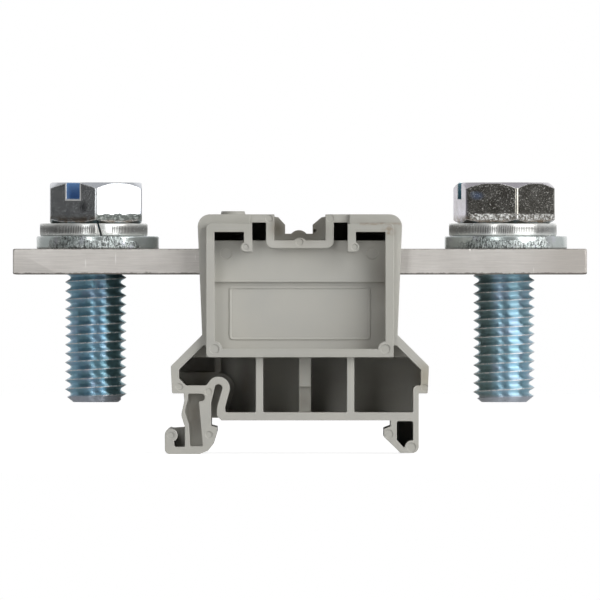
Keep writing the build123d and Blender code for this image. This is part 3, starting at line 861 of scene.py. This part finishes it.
washer = {
    "flatRadii": (6.5, 12.0),
    "flatZ": (40.0, 42.5),
    "flatEdge": 0.3,
    "flatSteps": 144,
    "springRadii": (6.55, 10.55),
    "springZ": (42.5, 45.0),
    "springEdge": 0.32,
    # how far each washer sits off the stud's axis in X
    "flatShift": {"left": 0.4, "right": 0.37},
    "springShift": {"left": -0.4, "right": -0.23},
    # turn of the split from the front, its width, and how far it leans over the washer's height
    "splitTurn": {"left": 4.0, "right": 150.0},
    "gap": 0.4,
    "lean": 0.7,
    # the split's cutter: distance from the axis of its two ends, and its height
    "cutter": (5.0, 12.0, 4.0),
    # number and depth of the rolled ridges on the rim, and half the height of their band
    "teeth": 184,
    "toothDepth": 0.17,
    "band": 0.85,
    # degrees before and after the split that are worn smooth
    "smooth": (2, 17),
    # points this close to the outer radius belong to the rim
    "rimDepth": 0.01,
}


def makeRing(name, x, radii, heights, steps, corner, loops=0):
    # the section is drawn on the +X side, its rim cut by the loops, and spun round its axis
    inner, outer = radii
    low, high = heights
    clearSelection()
    bpy.ops.mesh.primitive_plane_add(
        size=1, location=((x + (inner + outer) / 2) * mm, studY * mm, (low + high) / 2 * mm),
        rotation=(radians(90), 0, 0),
    )
    ring = named(name)
    ring.scale = ((outer - inner) * mm, (high - low) * mm, 1)
    settle(ring)
    bpy.ops.object.mode_set(mode="EDIT")
    selectIn(ring, "verts", lambda v: v.co.x > (x + (inner + outer) / 2) * mm)
    bpy.ops.mesh.bevel(offset=corner * mm, segments=3, affect="VERTICES")
    if loops:
        rim = (x + outer - washer["rimDepth"]) * mm
        selectIn(ring, "edges", lambda e: all(v.co.x > rim for v in e.verts))
        bpy.ops.mesh.subdivide(number_cuts=loops)
    bpy.ops.mesh.select_all(action="SELECT")
    bpy.ops.mesh.delete(type="ONLY_FACE")
    bpy.ops.mesh.select_all(action="SELECT")
    bpy.ops.mesh.spin(
        steps=steps, angle=2 * pi, center=(x * mm, studY * mm, 0), axis=(0, 0, 1),
    )
    bpy.ops.object.mode_set(mode="OBJECT")
    finishMesh(ring, angle=35)
    evenShading(ring, angle=50)
    return ring


def makeFlatWasher(side, x):
    ring = makeRing(
        f"flat_washer_{side}_zinc", x + washer["flatShift"][side],
        washer["flatRadii"], washer["flatZ"], washer["flatSteps"], washer["flatEdge"],
    )
    ring.data.materials.append(flatZinc(side))
    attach(ring, f"washers_{side}")
    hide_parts(f"flat_washer_{side}")


def makeSplitCutter(x, turn, middle, slope):
    near, far, tall = washer["cutter"]
    clearSelection()
    bpy.ops.mesh.primitive_cube_add(
        size=1, location=(washer["gap"] / 2 * mm, -(near + far) / 2 * mm, middle * mm),
        scale=(washer["gap"] * mm, (far - near) * mm, tall * mm),
    )
    slab = settle(named("slab"))
    bpy.ops.object.mode_set(mode="EDIT")
    for way in (1, -1):
        selectIn(slab, "verts", lambda v: (v.co.z - middle * mm) * way > 0)
        bpy.ops.transform.translate(
            value=((washer["lean"] / 2 - way * slope * tall / 2) * mm, 0, 0),
        )
    bpy.ops.object.mode_set(mode="OBJECT")
    slab.rotation_euler = (0, 0, radians(turn))
    slab.location = (x * mm, studY * mm, 0)
    return settle(slab)


def makeSpringWasher(side, x):
    low, high = washer["springZ"]
    outer, teeth = washer["springRadii"][1], washer["teeth"]
    middle = (low + high) / 2
    ringX, turn = x + washer["springShift"][side], washer["splitTurn"][side]
    ring = makeRing(
        f"spring_washer_{side}_zinc", ringX, washer["springRadii"], washer["springZ"],
        2 * teeth, washer["springEdge"], loops=2,
    )
    # rolled ridges on the rim: every second line of the band is pressed in
    bpy.ops.object.mode_set(mode="EDIT")

    def pressed(v):
        acrossX, acrossY = v.co.x - ringX * mm, v.co.y - studY * mm
        if hypot(acrossX, acrossY) < (outer - washer["rimDepth"]) * mm:
            return False
        if abs(v.co.z - middle * mm) > washer["band"] * mm:
            return False
        around = degrees(atan2(acrossY, acrossX)) % 360
        past = (around - 270 - turn) % 360
        before, after = washer["smooth"]
        if past < after or past > 360 - before:
            return False
        return round(around / 360 * 2 * teeth) % 2 == 0

    selectIn(ring, "verts", pressed)
    resizeAround(ringX, 1 - washer["toothDepth"] / outer)
    bpy.ops.object.mode_set(mode="OBJECT")
    # the split leans, so a slanted slab is cut out on one side
    combine(ring, makeSplitCutter(ringX, turn, middle, washer["lean"] / (high - low)), "DIFFERENCE")
    finishMesh(ring, angle=35)
    evenShading(ring, angle=35)
    ring.data.materials.append(springZinc(side))
    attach(ring, f"washers_{side}")
    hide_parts(f"spring_washer_{side}")


flatFinish = {
    "light": (0.62, 0.66, 0.65),
    "dark": (0.48, 0.54, 0.53),
    "tintNoise": (0.3, 3, 0.6, 0.35, 0.65),
    # the stamped rim is smooth above this height and torn below it
    "seamZ": 41.5,
    "seamFade": (41.6, 41.35),
    "seamStretch": (1, 1, 0.2),
    "seamNoise": (0.28, 4, 0.5),
    "seamDrift": {"left": 2.0, "right": 1.4},
    # X from the stud and half width of the places where the rim is torn from top to bottom
    "tornAt": {"left": ((-4.4, 2.3), (3.4, 1.7)), "right": ((-4.9, 1.1), (7.2, 1.0))},
    "tornNoise": (1.5, 4, 0.7, 0, 1, -0.9, 0.9),
    "tornEdge": 0.3,
    "tornDrop": 2.5,
    "sectorFade": (9.4, 8.0),
    "sectorNoise": (0.6, 3, 0.5, 0, 1, -2.2, 2.2),
    "pit": (0.05, 0.055, 0.055),
    "pitStretch": (1, 1, 0.4),
    "pitNoise": (3.4, 5, 0.75),
    "pitFade": (0.47, 0.55),
    "pitShare": 0.9,
    "lipFade": (0.20, 0.05, 0, 0.9),
    "lipNoise": (1.3, 4, 0.7, 0.45, 0.55),
    "lilac": (0.62, 0.60, 0.74),
    "lilacNoise": (0.4, 2, 0.5, 0.6, 0.75, 0, 0.4),
    "metallic": 0.68,
    "glossNoise": (1.6, 4, 0.6, 0.3, 0.7, 0.14, 0.26),
    "tornGloss": 0.08,
    "edgeSoft": 0.2,
    "tornRelief": (0, 1, 0.4, 2.2),
    "relief": (0.06, 0.8),
}


def flatZinc(side):
    finish = flatFinish
    material, tree, shader = startMaterial(f"zinc flat washer {side}")
    plain = inMillimetres(tree)
    colour = blendColour(tree, pattern(tree, plain, finish["tintNoise"]), finish["light"], finish["dark"])
    drift = finish["seamDrift"][side]
    seam = noise(tree, inMillimetres(tree, finish["seamStretch"]), *finish["seamNoise"])
    seam = plus(tree, axesOf(tree, plain)["Z"], spread(tree, seam, 0, 1, -drift, drift))
    across = fromAxis(tree, side)["X"]
    for centre, half in finish["tornAt"][side]:
        off = plus(tree, awayFrom(tree, across, centre), pattern(tree, plain, finish["tornNoise"]))
        outside, inside = half + finish["tornEdge"], half - finish["tornEdge"]
        seam = calc(tree, "SUBTRACT", seam, spread(tree, off, outside, inside, 0, finish["tornDrop"]))
    aside = plus(tree, awayFrom(tree, across, 0), pattern(tree, plain, finish["sectorNoise"]))
    sector = spread(tree, aside, *finish["sectorFade"])
    torn = times(tree, spread(tree, seam, *finish["seamFade"]), sector)
    grain = noise(tree, inMillimetres(tree, finish["pitStretch"]), *finish["pitNoise"])
    pits = times(tree, torn, spread(tree, grain, *finish["pitFade"]))
    # thin dark lip where the smooth cut ends
    lip = times(
        tree, spread(tree, awayFrom(tree, seam, finish["seamZ"]), *finish["lipFade"]),
        pattern(tree, plain, finish["lipNoise"]), sector,
    )
    dark = times(tree, largest(tree, pits, lip), finish["pitShare"])
    colour = blendColour(tree, dark, colour, finish["pit"])
    colour = blendColour(tree, pattern(tree, plain, finish["lilacNoise"]), colour, finish["lilac"])
    tree.links.new(colour, shader.inputs["Base Color"])
    shader.inputs["Metallic"].default_value = finish["metallic"]
    gloss = plus(tree, pattern(tree, plain, finish["glossNoise"]), times(tree, torn, finish["tornGloss"]))
    tree.links.new(gloss, shader.inputs["Roughness"])
    rough = times(tree, grain, spread(tree, torn, *finish["tornRelief"]))
    bump(tree, shader, rough, *finish["relief"], softNormal(tree, finish["edgeSoft"], samples=4))
    return material


springFinish = {
    "light": (0.72, 0.72, 0.69),
    "dark": (0.60, 0.62, 0.61),
    "tintNoise": (0.35, 3, 0.6, 0.35, 0.65),
    "ridgeDark": (0.06, 0.06, 0.06),
    "ridgeDarkShare": 0.85,
    # band round the rim, and shares of a ridge's depth between which the darkening begins and ends
    "ridgeDarkBand": 0.95,
    "ridgeDarkDepths": (0.08, 0.55, 2),
    "metallic": 0.50,
    "glossNoise": (1.4, 4, 0.6, 0.3, 0.7, 0.16, 0.30),
    "edgeSoft": 0.12,
    "grainNoise": (1.8, 4, 0.6),
    "grainBump": (0.010, 0.7),
}


def springZinc(side):
    finish = springFinish
    material, tree, shader = startMaterial(f"zinc spring washer {side}")
    plain = inMillimetres(tree)
    parts = fromAxis(tree, side, shift=washer["springShift"][side])
    reach = radiusOf(tree, parts)
    colour = blendColour(tree, pattern(tree, plain, finish["tintNoise"]), finish["light"], finish["dark"])
    # the pressed ridges are painted darker
    outer, middle = washer["springRadii"][1], sum(washer["springZ"]) / 2
    start, full, end = (outer - share * washer["toothDepth"] for share in finish["ridgeDarkDepths"])
    ridgeDark = times(
        tree, calc(tree, "LESS_THAN", awayFrom(tree, parts["Z"], middle), finish["ridgeDarkBand"]),
        spread(tree, reach, start, full), calc(tree, "GREATER_THAN", reach, end), finish["ridgeDarkShare"],
    )
    colour = blendColour(tree, ridgeDark, colour, finish["ridgeDark"])
    tree.links.new(colour, shader.inputs["Base Color"])
    shader.inputs["Metallic"].default_value = finish["metallic"]
    tree.links.new(pattern(tree, plain, finish["glossNoise"]), shader.inputs["Roughness"])
    soft = softNormal(tree, finish["edgeSoft"], samples=4)
    bump(tree, shader, noise(tree, plain, *finish["grainNoise"]), *finish["grainBump"], soft)
    return material


for side in boltPlaces:
    x = boltPlaces[side][0]
    makeFlatWasher(side, x)
    makeSpringWasher(side, x)
    print("washers finished:", side)


# Floor, light and camera, in metres

studio = {
    "floorSize": (3.0, 2.4),
    "floorFront": -0.36,
    "floorZ": -0.02 * mm,
    "floorRough": 0.9,
    "floorGlow": 0.86,
    "floorGrey": 0.8,
    # grey of the floor to the camera, dark enough for the glow to leave only a faint shadow
    "floorShade": 0.42,
    "room": 0.06,
    "walls": 0.40,
    "wallsInMetal": 0.62,
    "backdrop": 1.0,
    # how far back a direction points, from -1 to 1, where each of these fades in
    "wallsFrom": (-0.05, 0.20),
    "wallsInMetalFrom": (0.0, 0.16),
    "backdropFrom": (0.60, 0.85),
    "lookAt": (0.02 * mm, 0.0, 30.0 * mm),
    "distance": 3.2,
    "sensor": 36,
    # width that the picture shows, and how far in front of the origin it is measured
    "acrossFrame": 117.19 * mm,
    "facePlane": 10 * mm,
    "seeTo": 20,
    # name: turn to the right of the camera, height angle, distance, width, height, brightness
    "lamps": {
        "key": (49, 14, 1.1, 0.92, 1.0, 4.35),
        "overhead": (8, 62, 1.0, 1.2, 0.8, 1.0),
        "strip": (-18, 8, 1.2, 0.26, 1.1, 4.0),
    },
}


def makeFloor():
    clearSelection()
    wide, deep = studio["floorSize"]
    bpy.ops.mesh.primitive_plane_add(
        size=1, location=(0, studio["floorFront"] + deep / 2, studio["floorZ"]),
    )
    floor = named("floor")
    floor.scale = (wide, deep, 1)
    settle(floor)
    material, tree, shader = startMaterial("pale floor")
    shader.inputs["Roughness"].default_value = studio["floorRough"]
    path = addNode(tree, "ShaderNodeLightPath").outputs
    seen = largest(tree, path["Is Camera Ray"], path["Is Transmission Ray"])
    shade = spread(tree, seen, 0, 1, studio["floorGrey"], studio["floorShade"])
    grey = addNode(tree, "ShaderNodeCombineColor", {0: shade, 1: shade, 2: shade}).outputs[0]
    tree.links.new(grey, shader.inputs["Base Color"])
    shader.inputs["Emission Color"].default_value = (1, 1, 1, 1)
    tree.links.new(times(tree, seen, studio["floorGlow"]), shader.inputs["Emission Strength"])
    floor.data.materials.append(material)


def makeWorld():
    world = bpy.data.worlds.new("studio")
    bpy.context.scene.world = world
    world.use_nodes = True
    tree = world.node_tree
    tree.nodes.clear()
    direction = addNode(tree, "ShaderNodeTexCoord").outputs["Generated"]
    depth = axesOf(tree, direction)["Y"]
    level = spread(tree, depth, *studio["wallsFrom"], studio["room"], studio["walls"], smooth=True)
    # the white backdrop shows to the camera everywhere, and in the metal where it stands
    path = addNode(tree, "ShaderNodeLightPath").outputs
    inMetal = largest(
        tree, spread(tree, depth, *studio["backdropFrom"], 0, studio["backdrop"], smooth=True),
        spread(tree, depth, *studio["wallsInMetalFrom"], 0, studio["wallsInMetal"], smooth=True),
    )
    strength = largest(
        tree, level, path["Is Camera Ray"], path["Is Transmission Ray"],
        times(tree, path["Is Glossy Ray"], inMetal),
    )
    light = addNode(tree, "ShaderNodeBackground", {"Color": (1, 1, 1, 1), "Strength": strength})
    output = addNode(tree, "ShaderNodeOutputWorld")
    tree.links.new(light.outputs[0], output.inputs["Surface"])


def makeLamps():
    target = Vector(studio["lookAt"])
    for name, (turn, height, distance, width, tall, bright) in studio["lamps"].items():
        away = Vector((
            sin(radians(turn)) * cos(radians(height)),
            -cos(radians(turn)) * cos(radians(height)),
            sin(radians(height)),
        ))
        lamp = bpy.data.lights.new(name, "AREA")
        lamp.shape = "RECTANGLE"
        lamp.size = width
        lamp.size_y = tall
        lamp.energy = bright * pi * width * tall
        obj = bpy.data.objects.new(name, lamp)
        bpy.context.scene.collection.objects.link(obj)
        obj.location = target + away * distance
        obj.rotation_euler = away.to_track_quat("Z", "Y").to_euler()


def makeCamera():
    camera = bpy.data.cameras.new("camera")
    obj = bpy.data.objects.new("camera", camera)
    bpy.context.scene.collection.objects.link(obj)
    target = Vector(studio["lookAt"])
    obj.location = (target.x, -studio["distance"], target.z)
    obj.rotation_euler = (radians(90), 0, 0)
    camera.sensor_width = studio["sensor"]
    camera.lens = studio["sensor"] * (studio["distance"] - studio["facePlane"]) / studio["acrossFrame"]
    camera.clip_end = studio["seeTo"]
    bpy.context.scene.camera = obj


makeFloor()
makeWorld()
makeLamps()
makeCamera()
bpy.context.scene.view_settings.view_transform = "Standard"
print("studio finished")
